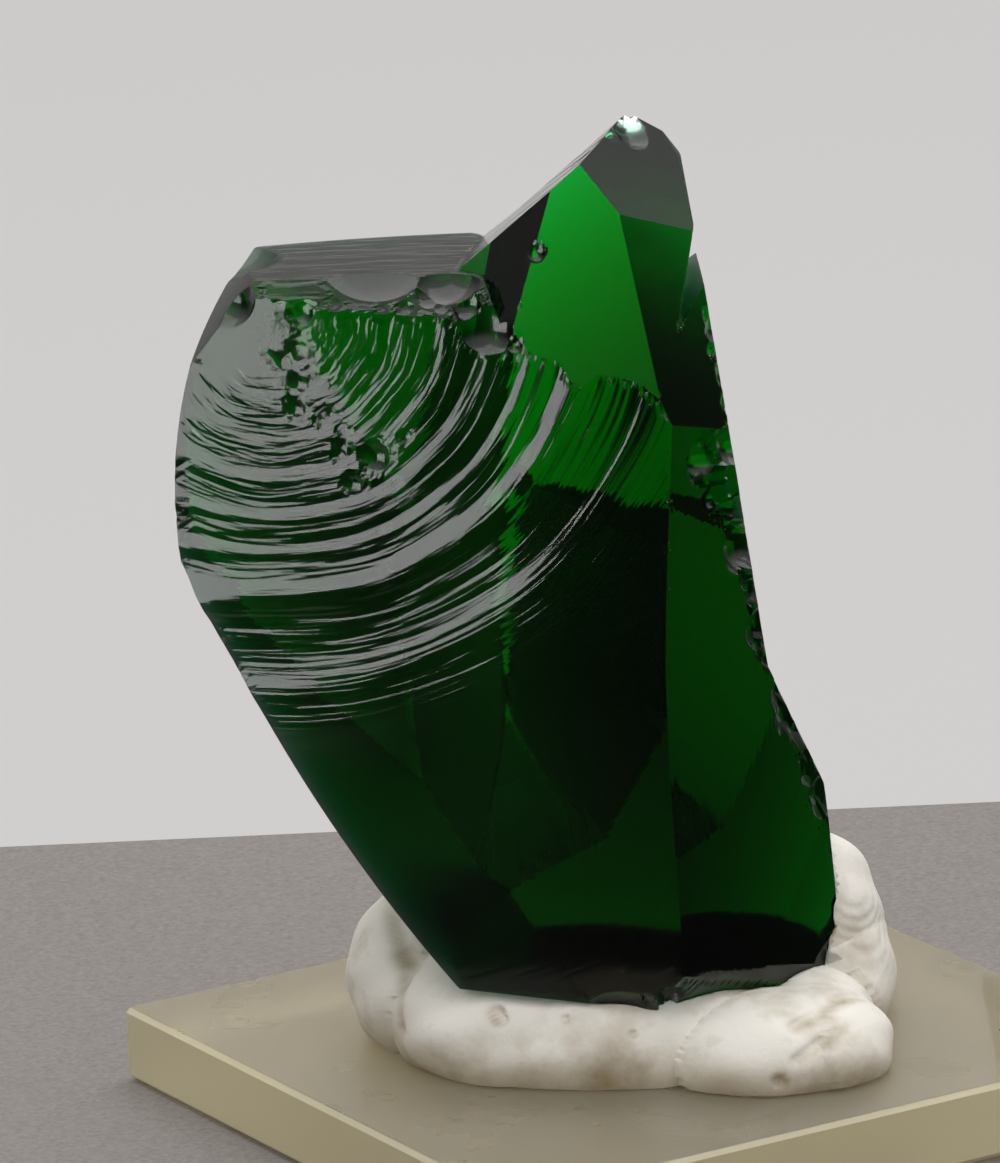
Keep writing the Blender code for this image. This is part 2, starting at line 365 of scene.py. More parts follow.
@dataclass(frozen=True)
class StrikeRipples:
    """What the blow left on the rippled face, in mm and degrees from the strike point.

    Each rib is height, middle and half width of its belt, pitch and lag in radians per degree;
    each lip is height, place and half width; the bulb is height and half width. The fine lines
    are noise units per mm, depth, more depth in the ribbed belt and less past it.
    """

    oval: float = 0.05
    fold_heading: Pair = (0.74, 0.67)
    fold_from: float = 2.0
    fold_slope: float = 0.16
    fold_soft: float = 1.2
    fold_steady: float = 24.0
    wander: float = 0.35
    ribs: tuple[tuple[float, float, float, float, float], ...] = (
        (0.035, 13.5, 6.5, 2.6, 0.0),
        (0.022, 14.0, 7.5, 1.3, 0.025),
    )
    lips: tuple[Triple, ...] = ((0.16, 24.5, 1.3), (0.22, 18.8, 1.1))
    bulb: Pair = (0.4, 6.0)
    fine: tuple[float, float, float, float] = (2.1, 0.03, 0.035, 0.024)


@dataclass(frozen=True)
class BottleGreenGlass:
    """Soda-lime cullet glass, melted, cooled and broken: clear, deep green, razor-edged."""

    name: str = "green_cullet_glass"
    ior: float = 1.52
    absorbs: Colour = (0.20, 0.845, 0.56, 1.0)
    density: float = 1060.0
    dull: float = 0.42
    wave: float = 0.012

    def material(self) -> bpy.types.Material:
        """Builds the glass: full transmission with green absorption in its depth.

        Hackled faces scatter by their haze times dull. The relief is a bump in mm: noise on the
        point's own relief place (across the ripples, along them), times the relief's depth.

        Returns:
            The material.
        """
        material, tree, shader, out = new_material(self.name, {
            "Base Color": linear("FFFFFF"), "Transmission Weight": 1.0, "IOR": self.ior})
        add = partial(add_node, tree)
        haze = add("Attribute", {"attribute_name": "haze"})
        rough = add("Math", {"operation": "MULTIPLY", 1: self.dull}, {0: haze.outputs["Fac"]})
        feed(tree, shader, {"Roughness": rough})
        # Deep green that darkens to black where the glass is thicker than about 20 mm
        depth = add("VolumeAbsorption", {"Color": self.absorbs, "Density": self.density})
        feed(tree, out, {"Volume": depth})
        # Fine conchoidal ripples and hackle lines, which break up the reflections
        place = add("Attribute", {"attribute_name": "relief_at"})
        deep = add("Attribute", {"attribute_name": "relief_deep"})
        noise = add("TexNoise",
                    {"noise_dimensions": "2D", "Scale": 1.0, "Detail": 1.6, "Roughness": 0.5,
                     "Distortion": 0.25}, {"Vector": place.outputs["Vector"]})
        height = add("Math", {"operation": "MULTIPLY"}, {0: noise, 1: deep.outputs["Fac"]})
        # Faint waviness about 4 mm long, as any broken glass face has
        coords = add("TexCoord")
        wavy = add("TexNoise", {"Scale": 260.0, "Detail": 1.0},
                   {"Vector": coords.outputs["Object"]})
        both = add("Math", {"operation": "MULTIPLY_ADD", 1: self.wave}, {0: wavy, 2: height})
        bump = add("Bump", {"Strength": 1.0, "Distance": MM}, {"Height": both})
        feed(tree, shader, {"Normal": bump})
        return material


@dataclass
class BrokenGlass:
    """The lump of glass: broken faces, flake scars and chipped edges round one heart."""

    heart: Triple = (-4.5, -2.5, 41.0)
    reach: Triple = (20.0, 11.0, 29.0)
    columns: int = 372
    rows: int = 266
    front_pull: float = 0.30
    waist_pull: float = 0.10
    strike: Triple = (-21.0, -9.0, 55.6)
    ripples: StrikeRipples = StrikeRipples()
    finish: BottleGreenGlass = BottleGreenGlass()
    lines: tuple[tuple[Relief, ReliefLines], ...] = (
        (Relief.COMBED, ReliefLines((1.3, 0.9, 0.0), (0.0, 0.0, 0.16), 0.02)),
        (Relief.FLOWED, ReliefLines((0.0, 1.0, 1.2), (0.15, 0.0, 0.0), 0.17)),
    )
    hazes: tuple[tuple[Relief | None, float], ...] = (
        (Relief.DULL, 1.0), (Relief.SATIN, 0.3), (Relief.RIBBED, 0.22), (None, 0.35))
    body: tuple[Face, ...] = (
        Face("main_ripple", (-6.0, -12.3, 32.0), -7, 4, 340, Relief.RIBBED),
        Face("left_side", (-28.1, -4.0, 44.0), -100, 2, 31),
        Face("lower_left", (-20.9, -6.0, 25.7), -104, -31, 120, Relief.DULL),
        Face("foot", (-5.0, -12.5, 10.8), -40, -78, 0, Relief.DULL),
        Face("foot_front", (4.2, -11.6, 11.3), 30, -36, 0, Relief.FLOWED),
        Face("right_green", (6.2, -9.8, 37.0), 41, 1, 0, Relief.COMBED),
        Face("right_low", (12.9, -3.0, 18.0), 92, 4, 0, Relief.DULL),
        Face("right_heel", (12.7, -1.0, 11.0), 92, -15, 40, Relief.DULL),
        Face("low_chip", (12.4, -4.8, 19.4), 47, -3),
        Face("back_left", (-23.0, 3.0, 45.0), -145, 4, 300, Relief.DULL),
        Face("back_belly", (-2.0, 13.6, 34.0), 178, 3, 200, Relief.DULL),
        Face("back_right", (8.6, 8.4, 30.0), 134, 5, 120, Relief.DULL),
        Face("back_foot", (-2.0, 10.6, 16.0), 174, -24, 120, Relief.DULL),
    )
    either: tuple[tuple[tuple[Face, ...], ...], ...] = (
        ((Face("shoulder", (-15.0, -3.0, 58.1), 30, 88, 300, Relief.FLOWED),
          Face("under_rim", (-15.0, -8.7, 55.9), -4, 32, 0, Relief.FLOWED),
          Face("left_corner", (-24.6, -5.5, 55.9), -80, 38, 60),
          Face("shoulder_end", (-8.2, -5.0, 58.4), 90, 19)),
         (Face("peak_left", (-5.2, -2.0, 60.9), -100, 50, 0, Relief.FLOWED),
          Face("dark_slope", (-6.6, -10.0, 53.8), -35, 24),
          Face("window", (-6.6, -10.0, 53.8), -3, 18),
          Face("window_side", (2.8, -11.8, 50.1), 46, 20),
          Face("peak_top", (0.6, -8.2, 61.5), 56, 40))),
        ((Face("right_rim", (7.05, 1.0, 46.8), 91.5, 7, 0, Relief.DULL),),
         (Face("right_bulge", (10.8, -6.0, 27.0), 97, 23),)),
        ((Face("back_upper", (-3.0, 2.0, 57.0), -165, 13.5, 150, Relief.SATIN),),
         (Face("left_back", (-15.0, 3.1, 57.8), -172, 24, 200, Relief.DULL),
          Face("left_wall", (-8.5, 5.0, 48.0), 135, 5, 0, Relief.DULL)),
         (Face("low_ledge", (-2.0, 5.5, 41.0), 172, 50, -80, Relief.DULL),
          Face("low_left", (5.5, 13.4, 30.0), -145, 5, 0, Relief.DULL))),
    )
    scars: tuple[Flake, ...] = (
        Flake((5.2, -9.2, 45.4), (0.5, -0.8, 0.3), 2.8, 0.8),
        Flake((7.4, -7.8, 39.8), (0.7, -0.7, 0.1), 2.2, 0.5),
        Flake((8.6, -7.4, 33.8), (0.8, -0.6, 0.1), 2.4, 0.6),
        Flake((10.4, -6.4, 27.4), (0.8, -0.6, 0.2), 2.8, 0.7),
        Flake((12.4, -5.2, 21.6), (0.9, -0.4, 0.1), 3.0, 0.8),
        Flake((2.4, -0.6, 65.2), (0.1, -0.5, 0.8), 3.2, 0.9),
        Flake((-23.8, -7.2, 56.4), (-0.6, -0.6, 0.5), 3.4, 0.8),
        Flake((-22.2, -2.0, 58.0), (-0.5, 0.1, 0.8), 4.4, 0.6),
        Flake((-15.0, -7.0, 57.9), (0.0, -0.6, 0.8), 5.2, 0.5),
        Flake((-9.9, -7.8, 57.4), (-0.2, -0.6, 0.7), 3.6, 0.7),
        Flake((-7.4, -9.4, 54.6), (-0.3, -0.9, 0.3), 2.6, 0.4),
        Flake((-27.6, -7.0, 42.0), (-0.8, -0.6, 0.0), 3.0, 0.5),
        Flake((-25.6, -8.6, 34.6), (-0.7, -0.6, -0.3), 3.0, 0.4),
        Flake((-2.0, -12.6, 10.9), (0.0, -0.8, -0.6), 4.2, 0.4),
    )
    edges: tuple[ChippedEdge, ...] = (
        ChippedEdge(((5.0, -9.0, 45.5), (7.0, -8.0, 39.8), (8.6, -7.4, 33.6), (10.8, -6.0, 26.8),
                     (12.6, -4.8, 21.0)), (0.8, -0.6, 0.1), 34, 0.5, 1.9, 11, 0.22),
        ChippedEdge(((-27.9, -7.4, 44.0), (-27.6, -7.6, 38.0), (-24.2, -9.4, 32.0),
                     (-16.0, -11.4, 20.6)), (-0.8, -0.6, -0.2), 20, 0.4, 1.3, 12),
        ChippedEdge(((-23.5, -8.2, 56.0), (-15.0, -8.6, 56.6), (-9.0, -8.8, 56.0)),
                    (0.0, -0.8, 0.6), 14, 0.5, 1.6, 13),
        ChippedEdge(((-6.4, -10.4, 53.4), (-4.6, -8.6, 59.0), (-3.6, -7.6, 62.2)),
                    (-0.4, -0.9, 0.3), 12, 0.5, 1.4, 14),
        ChippedEdge(((-2.5, -3.0, 64.6), (1.0, -2.0, 65.6), (4.0, -1.6, 65.4)),
                    (0.1, -0.5, 0.8), 10, 0.5, 1.4, 15),
        ChippedEdge(((-13.0, -12.6, 11.0), (-2.0, -12.8, 10.8), (4.0, -12.2, 11.2),
                     (10.6, -8.4, 10.6)), (0.0, -0.8, -0.6), 22, 0.5, 1.5, 16),
        ChippedEdge(((12.9, -3.4, 19.0), (13.0, -2.6, 14.0), (12.6, -2.6, 11.0)),
                    (1.0, -0.3, 0.0), 8, 0.5, 1.2, 17),
        ChippedEdge(((-22.6, -7.9, 54.2), (-19.0, -8.7, 50.2), (-15.5, -9.7, 46.6)),
                    (0.17, -1.0, -0.12), 18, 0.4, 1.1, 18, (1.6, 0.0, 1.4), (0.06, 0.13), True,
                    0.1),
        ChippedEdge(((6.2, -5.8, 55.0), (6.9, -7.0, 50.0), (7.2, -7.9, 46.0)),
                    (0.8, -0.6, 0.1), 14, 0.5, 1.8, 19, 0.2),
    )

    def ripple_polar(self, p: Array) -> tuple[Array, Array]:
        """Distance from the strike point and angle round it, seen square on.

        The distance is stretched by oval times sin(2 angle + 0.6), so that the arcs are oval.

        Args:
            p: Points in mm.

        Returns:
            Distance in mm, and angle in degrees from straight down, positive to the right.
        """
        right = p[..., 0] - self.strike[0]
        down = self.strike[2] - p[..., 2]
        angle = np.arctan2(right, down)
        rho = np.hypot(right, down) * (1.0 + self.ripples.oval * np.sin(2.0 * angle + 0.6))
        return rho, np.degrees(angle)

    def ripple_rise(self, p: Array) -> Array:
        """Height of the rippled face over its plain swell.

        A fold drops the part to the lower left of a line down from the strike point, by slope
        times the soft distance past it (soft x ln(1 + e^(distance / soft)), no steeper beyond
        the steady distance). Ribs run in arcs round the point in their belts (height x hump x
        sin(2 pi distance / pitch + lag x angle)), two lips end them, and a low bulb rises at
        the point itself.

        Args:
            p: Points in mm.

        Returns:
            Height in mm.
        """
        r = self.ripples
        rho, angle = self.ripple_polar(p)
        right = p[..., 0] - self.strike[0]
        down = self.strike[2] - p[..., 2]
        inward = np.minimum(1.0, r.fold_steady / np.maximum(rho, 1e-6))
        beyond = (r.fold_heading[0] * down - r.fold_heading[1] * right) * inward - r.fold_from
        fold = r.fold_slope * np.log1p(np.exp(np.clip(beyond / r.fold_soft, -30, 30))) * r.fold_soft
        bent = rho + r.wander * drift(angle / 26.0, rho / 9.0, 2.0)
        rise = r.bulb[0] * hump(rho, 0.0, r.bulb[1]) - fold
        for high, middle, width, pitch, lag in r.ribs:
            wave = np.sin(2.0 * np.pi * bent / pitch + angle * lag)
            rise = rise + high * hump(rho, middle, width) * wave
        for high, middle, width in r.lips:
            rise = rise + high * hump(bent, middle, width)
        return rise

    def face_reach(self, rays: Array, face: Face) -> Array:
        """How far along each ray a face lies, as a multiple of the ray.

        The plane's distance is found, then moved out by the face's rise at that point
        (minus the squared distance from its middle over twice the swell), eight times over.

        Args:
            rays: Rays from the heart.
            face: The broken face.

        Returns:
            Multiples of the rays; MISS where the face is behind.
        """
        heart = np.array(self.heart)
        out = toward(face.bearing, face.elevation)
        slant = rays @ out
        ahead = slant > 0.02 * np.linalg.norm(rays, axis=-1)
        slant = np.where(ahead, slant, 1.0)
        level = float(np.dot(np.array(face.at) - heart, out))
        s = level / slant
        ribbed = face.relief is Relief.RIBBED
        for _ in range(8 if ribbed or face.swell else 1):
            p = heart + rays * np.clip(s, 0.0, 3.0)[..., None]
            rel = p - np.array(face.at)
            side2 = (rel ** 2).sum(-1) - (rel @ out) ** 2
            rise = -side2 / (2.0 * face.swell) if face.swell else 0.0 * side2
            if ribbed:
                rise = rise + self.ripple_rise(p)
            s = (level + np.maximum(rise, -level * 0.8)) / slant
        return np.where(ahead, s, MISS)

    def flake_reach(self, rays: Array, flake: Flake) -> Array:
        """Where each ray enters the ball that shapes one flake scar.

        The ball's radius is (width^2 / 4 + depth^2) / (2 depth), from the scar's own sizes.

        Args:
            rays: Rays from the heart.
            flake: The scar.

        Returns:
            Multiples of the rays; MISS where a ray misses the ball.
        """
        out = np.array(flake.out) / np.linalg.norm(flake.out)
        radius = (flake.width ** 2 / 4 + flake.depth ** 2) / (2 * flake.depth)
        mid = np.array(flake.at) + out * (radius - flake.depth) - np.array(self.heart)
        a = (rays ** 2).sum(-1)
        b = rays @ mid
        disc = b * b - a * (mid @ mid - radius ** 2)
        enter = (b - np.sqrt(np.maximum(disc, 0.0))) / a
        return np.where((disc > 0) & (enter > 0), enter, MISS)

    def settled(self, flake: Flake) -> Flake:
        """Moves a scar along its ray from the heart onto the rippled face."""
        ray = np.array(flake.at) - np.array(self.heart)
        s = float(self.face_reach(ray[None], self.body[0])[0])
        return replace(flake, at=tuple(np.array(self.heart) + ray * s))

    def all_flakes(self) -> list[Flake]:
        """The large scars and then the small ones of every chipped edge."""
        small = [self.settled(flake) if edge.on_ripples else flake
                 for edge in self.edges for flake in edge.flakes()]
        return list(self.scars) + small

    def all_faces(self) -> list[Face | Flake]:
        """Every surface in the order in which glass_reach numbers them."""
        blocks = [face for pair in self.either for block in pair for face in block]
        return list(self.body) + self.all_flakes() + blocks

    def glass_reach(self, rays: Array) -> tuple[Array, Array, Array]:
        """Finds where each ray leaves the glass.

        The nearest of all body faces and scars ends a ray, and so does the furthest of the
        blocks in each set of blocks that the glass fills.

        Args:
            rays: Rays from the heart.

        Returns:
            Distances to every surface, distance to the glass's skin, and the surface there.
        """
        parts = [np.array([self.face_reach(rays, face) for face in self.body]
                          + [self.flake_reach(rays, flake) for flake in self.all_flakes()])]
        owner = np.argmin(parts[0], axis=0)
        near = parts[0].min(axis=0)
        first = len(parts[0])
        for blocks in self.either:
            far, far_owner = np.zeros(near.shape), owner
            for faces in blocks:
                hits = np.array([self.face_reach(rays, face) for face in faces])
                block = hits.min(axis=0)
                far_owner = np.where(block > far, np.argmin(hits, axis=0) + first, far_owner)
                far = np.maximum(far, block)
                parts.append(hits)
                first += len(faces)
            owner = np.where(far < near, far_owner, owner)
            near = np.minimum(near, far)
        return np.concatenate(parts), near, owner

    def grid_rays(self, u: Array, v: Array) -> Array:
        """Rays for grid places, crowded towards the rippled face and the waist.

        turn = 2 pi u - front_pull cos(2 pi u), and tip = pi (1 - v) + waist_pull sin(2 tip).

        Args:
            u: Turn round the body, 0 to 1.
            v: Height, 0 at the bottom to 1 at the top.

        Returns:
            Rays from the heart.
        """
        turn = 2 * np.pi * u
        turn = turn - self.front_pull * np.cos(turn)
        tip = np.pi * (1.0 - v)
        tip = tip + self.waist_pull * np.sin(2.0 * tip)
        return ball_rays(tip, turn, self.reach)

    @staticmethod
    def snap_to_creases(u: Array, v: Array, hits: Array,
                        owner: Array) -> tuple[Array, Array, Array]:
        """Moves grid places onto a crease that lies less than half a step away.

        The crease between two faces is where their distances agree, found by a straight line
        between the gaps at the two grid places.

        Args:
            u: Turn of each grid place.
            v: Height of each grid place.
            hits: Distances to every surface.
            owner: Surface that ends each ray.

        Returns:
            New u and v, and True where a place was moved onto a crease.
        """
        rows, cols = u.shape
        best = np.full(u.shape, 0.5)
        move = np.zeros((2,) + u.shape)
        ri, ci = np.meshgrid(np.arange(rows), np.arange(cols), indexing="ij")
        for dr, dc in ((1, 0), (-1, 0), (0, 1), (0, -1)):
            rn, cn = np.clip(ri + dr, 0, rows - 1), (ci + dc) % cols
            other = owner[rn, cn]
            here = np.abs(hits[other, ri, ci] - hits[owner, ri, ci])
            there = np.abs(hits[other, rn, cn] - hits[owner, rn, cn])
            part = here / np.maximum(here + there, 1e-9)
            near = (other != owner) & (part < best)
            best = np.where(near, part, best)
            move = np.where(near, np.stack([part * dc / cols, part * dr / rows]), move)
        return u + move[0], v + move[1], best < 0.5

    def reliefs(self) -> list[Relief | None]:
        """The relief of every surface in glass_reach's order; None for a scar."""
        return [getattr(face, "relief", None) for face in self.all_faces()]

    def relief(self, p: Array, owner: Array) -> tuple[Array, Array]:
        """Place in the fine relief of each point's face, and how deep that relief is.

        Ribbed faces count outwards from the strike point and slowly round it; the others count
        across and along their straight lines.

        Args:
            p: Points in mm.
            owner: Number of the surface that each point lies on.

        Returns:
            Places (noise units) and depths in mm.
        """
        rho, angle = self.ripple_polar(p)
        flat = np.zeros(rho.shape)
        rate, deep, belt, past = self.ripples.fine
        arcs = rho * rate + 0.6 * drift(angle / 20.0, rho / 7.0, 5.0)
        arc_deep = deep + belt * ease(rho, 2.5, 6.0) * (1.0 - ease(rho, 25.0, 28.5))
        rows = [(Relief.RIBBED, np.stack([arcs, angle / 24.0, flat], -1),
                 arc_deep - past * ease(rho, 26.0, 29.0))]
        for kind, line in self.lines:
            at = np.stack([p @ np.array(line.across), p @ np.array(line.along), flat], -1)
            rows.append((kind, at, np.array(line.deep)))
        place, depth = p * 0.5, flat
        kinds = self.reliefs()
        for kind, at, deep in rows:
            here = np.array([k is kind for k in kinds])[owner]
            place = np.where(here[..., None], at, place)
            depth = np.where(here, deep, depth)
        return place, depth

    def points(self) -> tuple[Array, ...]:
        """Works out the skin's grid of points, its creases, its relief and its haze.

        Returns:
            Points, True where a point lies on a crease, relief places, relief depths and
            haze from 0 (clear) to 1.
        """
        u, v = grid_places(self.rows, self.columns)
        hits, _, owner = self.glass_reach(self.grid_rays(u, v))
        u, v, crease = self.snap_to_creases(u, v, hits, owner)
        rays = self.grid_rays(u, v)
        _, s, owner = self.glass_reach(rays)
        grid = np.array(self.heart) + rays * s[..., None]
        place, deep = self.relief(grid, owner)
        rim = crease.copy()
        for shift in (1, -1):
            rim |= np.roll(owner, shift, 1) != owner
            rim |= np.roll(owner, shift, 0) != owner
        hazes = dict(self.hazes)
        haze = np.array([hazes.get(kind, 0.0) for kind in self.reliefs()])[owner]
        return grid, crease, place, np.where(rim, 0.0, deep), haze

    def build(self) -> bpy.types.Object:
        """Makes the glass as one closed mesh and dresses it.

        Returns:
            The finished piece.
        """
        grid, crease, place, deep, haze = self.points()
        ends = end_rays(self.reach)
        _, s, _ = self.glass_reach(ends)
        tips = np.array(self.heart) + ends * s[:, None]
        points = to_plate(np.concatenate([grid.reshape(-1, 3), tips]))
        faces = ball_faces(self.rows, self.columns, crease)
        crisp = np.concatenate([crease.ravel(), [False, False]])
        piece = make_piece("broken_glass", points, faces, crisp)
        paint(piece, "relief_at", np.concatenate([place.reshape(-1, 3), tips * 0.5]))
        paint(piece, "relief_deep", np.concatenate([deep.ravel(), [0.0, 0.0]]))
        paint(piece, "haze", np.concatenate([haze.ravel(), [0.0, 0.0]]))
        piece.data.materials.append(self.finish.material())
        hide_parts("glass_chunk")
        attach(piece, "root")
        return piece


@dataclass(frozen=True)
class KneadedPutty:
    """Rubbery mounting putty, kneaded by hand: dull warm white with skin prints in it."""

    name: str = "white_mounting_putty"
    clean: str = "FBF7EE"
    # Brown of the stains, which also paints shade into the folds and, with dirt, darkens the foot
    stain_and_shade_colour: str = "A8946C"
    ridge_pitch: float = 0.42
    grain_high: float = 0.06

    def material(self) -> bpy.types.Material:
        """Builds the putty: matt, a little translucent, with brown stains, painted shade in its
        folds and a darker foot that is partly dirt and partly painted contact shade.

        Returns:
            The material.
        """
        material, tree, shader, _ = new_material(self.name, {
            "Roughness": 0.62, "Subsurface Weight": 0.12, "Subsurface Radius": (1.0, 0.8, 0.6),
            "Subsurface Scale": 1.5 * MM})
        add = partial(add_node, tree)
        coords = add("TexCoord")
        # Brown stains about 6 mm across; an attribute adds painted shade in the folds and a darker,
        # browner foot that is partly dirt and partly painted contact shade
        patches = add("TexNoise", {"Scale": 170.0, "Detail": 4.0, "Roughness": 0.6},
                      {"Vector": coords.outputs["Object"]})
        low = add("Attribute", {"attribute_name": "low_place"})
        stain = add("MapRange", {"From Min": 0.5, "From Max": 0.75, "To Max": 0.6},
                    {"Value": patches})
        stain_and_shade = add("Math", {"operation": "ADD", "use_clamp": True},
                   {0: stain, 1: low.outputs["Fac"]})
        tint = add("Mix", {"data_type": "RGBA", 6: linear(self.clean), 7: linear(self.stain_and_shade_colour)},
                   {0: stain_and_shade})
        feed(tree, shader, {"Base Color": tint.outputs[2]})
        # Skin ridges where a finger pressed, over a kneaded grain of about 0.7 mm
        prints = add("Attribute", {"attribute_name": "print_at"})
        parts = add("SeparateXYZ", {}, {0: prints.outputs["Vector"]})
        turns = add("Math", {"operation": "MULTIPLY", 1: 2 * np.pi / self.ridge_pitch}, {0: parts})
        wave = add("Math", {"operation": "SINE"}, {0: turns})
        ridge = add("Math", {"operation": "MULTIPLY"}, {0: wave, 1: parts.outputs[1]})
        grain = add("TexNoise", {"Scale": 1500.0, "Detail": 3.0, "Roughness": 0.65},
                    {"Vector": coords.outputs["Object"]})
        height = add("Math", {"operation": "MULTIPLY_ADD", 1: self.grain_high},
                     {0: grain, 2: ridge})
        bump = add("Bump", {"Strength": 1.0, "Distance": MM}, {"Height": height})
        feed(tree, shader, {"Normal": bump})
        return material


@dataclass(frozen=True)
class Crease:
    """A fold or dent in the putty: a line of points with a half width and a depth in mm."""

    line: tuple[Triple, ...]
    width: float
    depth: float


@dataclass
class MountingPutty:
    """The kneaded lump of putty round the glass's foot."""

    heart: Triple = (-0.5, -1.5, 6.5)
    spread: Triple = (16.0, 13.0, 5.0)
    blend: float = 7.0
    columns: int = 420
    rows: int = 150
    lump_high: float = 0.22
    lump_sink: float = 0.1
    socket_gap: float = 0.06
    print_across: Triple = (0.55, -0.35, 0.62)
    print_high: float = 0.035
    # Weights of painted shade in the dents, and of the darker foot that is partly dirt and partly
    # painted contact shade
    dent_painted_shade: float = 1.3
    foot_dirt_and_shade: float = 0.55
    finish: KneadedPutty = KneadedPutty()
    lobes: tuple[tuple[Triple, Triple], ...] = (
        ((-9.6, -4.6, 8.4), (6.6, 5.8, 5.0)),
        ((-1.5, -8.4, 7.2), (10.5, 5.0, 4.2)),
        ((8.4, -10.6, 6.4), (6.8, 6.0, 3.6)),
        ((10.6, -5.0, 6.6), (4.2, 8.2, 3.4)),
        ((12.3, 2.2, 9.9), (4.2, 6.4, 7.0)),
        ((-12.9, 0.8, 9.6), (5.8, 6.2, 6.0)),
        ((-1.5, 8.2, 7.4), (13.0, 6.0, 4.4)),
        ((-0.5, -1.0, 6.0), (14.0, 11.5, 5.0)),
    )
    creases: tuple[Crease, ...] = (
        Crease(((9.9, -14.8, 9.2), (11.8, -13.1, 9.6), (13.7, -10.3, 9.6), (15.2, -8.0, 9.0)),
               0.5, 0.45),
        Crease(((9.9, -16.4, 7.4), (12.7, -14.6, 8.6), (15.0, -10.6, 8.2)), 0.4, 0.3),
        Crease(((11.8, -13.1, 9.6), (12.4, -14.0, 8.8)), 0.35, 0.3),
        Crease(((-16.0, -1.0, 15.0), (-15.6, -4.0, 13.4), (-15.1, -5.8, 12.1)), 0.6, 0.45),
        Crease(((-15.1, -5.8, 12.1), (-15.2, -6.9, 9.6), (-15.4, -7.6, 8.0)), 0.5, 0.35),
        Crease(((-15.3, -5.5, 12.4), (-15.0, -5.9, 12.0)), 0.75, 0.9),
        Crease(((-9.4, -11.5, 10.0), (-9.2, -11.7, 9.5)), 0.42, 0.9),
        Crease(((-4.9, -12.4, 9.6), (-4.8, -12.4, 9.5)), 0.22, 0.4),
        Crease(((-0.6, -13.4, 8.7), (-0.5, -13.4, 8.6)), 0.22, 0.4),
        Crease(((8.7, -16.7, 6.2), (8.8, -16.7, 6.1)), 0.36, 0.8),
    )

    def dents(self, p: Array) -> Array:
        """Depth of the folds at each point: depth exp(-(distance to the line / width)^2).

        Args:
            p: Points in mm.

        Returns:
            Depth in mm.
        """
        total = np.zeros(p.shape[:-1])
        for crease in self.creases:
            near = np.full(p.shape[:-1], np.inf)
            for a, b in zip(np.array(crease.line[:-1]), np.array(crease.line[1:])):
                t = np.clip(((p - a) @ (b - a)) / ((b - a) @ (b - a)), 0.0, 1.0)
                near = np.minimum(near, np.linalg.norm(p - a - t[..., None] * (b - a), axis=-1))
            total = np.maximum(total, crease.depth * np.exp(-(near / crease.width) ** 2))
        return total

    def putty_reach(self, rays: Array) -> Array:
        """How far each ray runs before it leaves the putty.

        Each lobe's exit distance is raised to the blend power, the powers are added and the
        root taken, which joins the lobes softly; the plate's top ends the rays that go down.

        Args:
            rays: Rays from the putty's heart.

        Returns:
            Multiples of the rays.
        """
        heart = np.array(self.heart)
        total = np.zeros(rays.shape[:-1])
        for mid, radii in self.lobes:
            step, way = (heart - np.array(mid)) / np.array(radii), rays / np.array(radii)
            a, b = (way ** 2).sum(-1), way @ step
            disc = b * b - a * (step @ step - 1.0)
            far = np.where(disc > 0, (-b + np.sqrt(np.maximum(disc, 0.0))) / a, 0.0)
            total = total + np.maximum(far, 0.0) ** self.blend
        reach = total ** (1.0 / self.blend)
        p = heart + rays * reach[..., None]
        size = np.linalg.norm(rays, axis=-1)
        lumps = drift(p[..., 0] / 3.0, p[..., 1] / 3.0 + p[..., 2] / 2.0, 3.0) * self.lump_high
        reach = reach + (lumps - self.lump_sink - self.dents(p)) / size
        sinks = rays[..., 2] < -1e-6
        drop = np.where(sinks, rays[..., 2], -1.0)
        floor = np.where(sinks, (PLATE_TOP + 0.02 - heart[2]) / drop, np.inf)
        return np.minimum(reach, floor)

    def build(self, glass: bpy.types.Object) -> bpy.types.Object:
        """Makes the putty, presses the glass's socket into it and dresses it.

        Args:
            glass: The finished glass, a grown copy of which cuts the socket.

        Returns:
            The finished piece.
        """
        u, v = grid_places(self.rows, self.columns)
        rays = ball_rays(np.pi * (1.0 - v), 2 * np.pi * u, self.spread)
        grid = np.array(self.heart) + rays * self.putty_reach(rays)[..., None]
        ends = end_rays(self.spread)
        tips = np.array(self.heart) + ends * self.putty_reach(ends)[:, None]
        p = np.concatenate([grid.reshape(-1, 3), tips])
        faces = ball_faces(self.rows, self.columns, np.zeros(u.shape, dtype=bool))
        piece = make_piece("kneaded_putty", to_plate(p), faces)
        # Finger prints on the right lobe; painted shade in the dents, and a darker band near the
        # plate that is partly dirt and partly painted contact shade
        x, y, z = p.T
        across = p @ np.array(self.print_across) + 0.3 * drift(z / 5, y / 5, 1.0)
        pressed = hump(y, -4.5, 4.5) * ease(x, 12.0, 14.5) * hump(z, 12.5, 3.4)
        paint(piece, "print_at", np.stack([across, self.print_high * pressed, 0 * across], -1))
        foot_darkening = (1.0 - ease(z, 5.4, 8.2)) * (0.7 + 0.3 * drift(x / 2.0, y / 2.0, 6.0))
        stain_and_shade = self.dents(p) * self.dent_painted_shade + foot_darkening * self.foot_dirt_and_shade
        paint(piece, "low_place", np.clip(stain_and_shade, 0.0, 1.0))
        self.press_socket(piece, glass)
        piece.data.materials.append(self.finish.material())
        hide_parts("mounting_putty")
        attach(piece, "root")
        return piece

